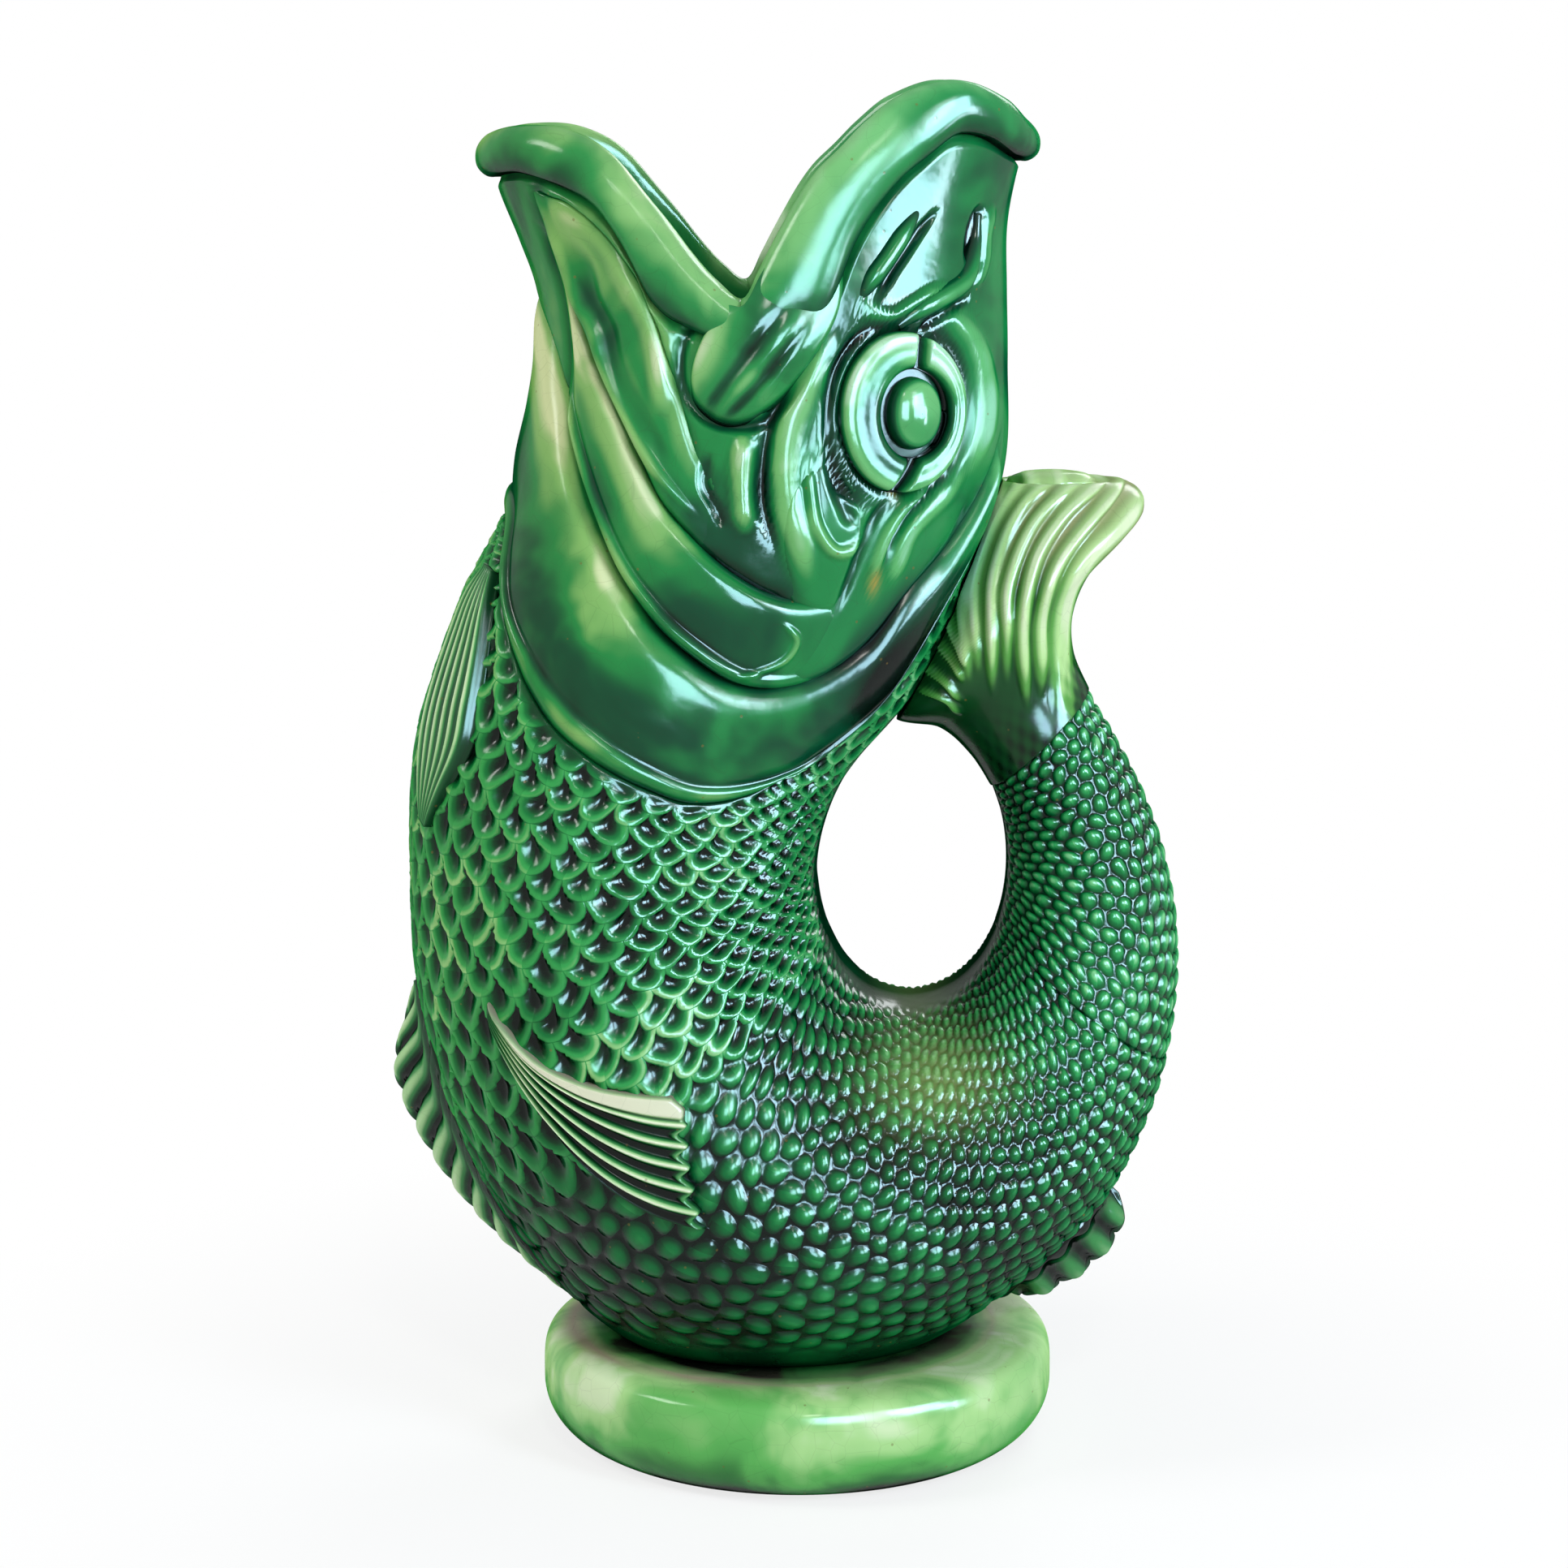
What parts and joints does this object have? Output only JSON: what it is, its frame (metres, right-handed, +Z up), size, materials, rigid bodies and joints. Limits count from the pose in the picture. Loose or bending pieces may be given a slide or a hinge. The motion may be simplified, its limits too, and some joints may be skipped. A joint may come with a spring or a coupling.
{
  "type": "gurgle jug",
  "caption": "Hollow glazed jug in the form of an upright fish: open jaws are the spout, and the curled hollow tail is the handle and holds the air that gurgles.",
  "frame": {"origin": "on the table, under the middle of the jug's length and width", "axes": "+Z up, +X towards the tail handle, -X towards the belly, -Y the fish's left side"},
  "size_m": [0.146, 0.0998, 0.2499],
  "materials": {
    "body_glaze": "glossy",
    "head_glaze": "glossy",
    "fin_glaze": "glossy",
    "foot_glaze": "glossy"
  },
  "bodies": {
    "root": {"foot_ring": "foot_glaze", "body_shell": "body_glaze", "tail_handle": "body_glaze", "tail_fin": "fin_glaze", "head_shell": "head_glaze", "lower_lip": "head_glaze", "upper_lip": "head_glaze", "lip_lobe_left": "head_glaze", "lip_lobe_right": "head_glaze", "gill_collar_left": "head_glaze", "gill_collar_right": "head_glaze", "gill_cover_left": "head_glaze", "gill_cover_right": "head_glaze", "jaw_plate_left": "head_glaze", "jaw_plate_right": "head_glaze", "cheek_left": "head_glaze", "cheek_right": "head_glaze", "eye_ring_left": "head_glaze", "eye_ring_right": "head_glaze", "pupil_left": "head_glaze", "pupil_right": "head_glaze", "brow_left": "head_glaze", "brow_right": "head_glaze", "nostril_fold_left": "head_glaze", "nostril_fold_right": "head_glaze", "side_fin_left": "fin_glaze", "side_fin_right": "fin_glaze", "throat_leaf_left": "fin_glaze", "throat_leaf_right": "fin_glaze", "belly_fin": "fin_glaze", "rear_fin": "fin_glaze"}
  },
  "joints": []
}
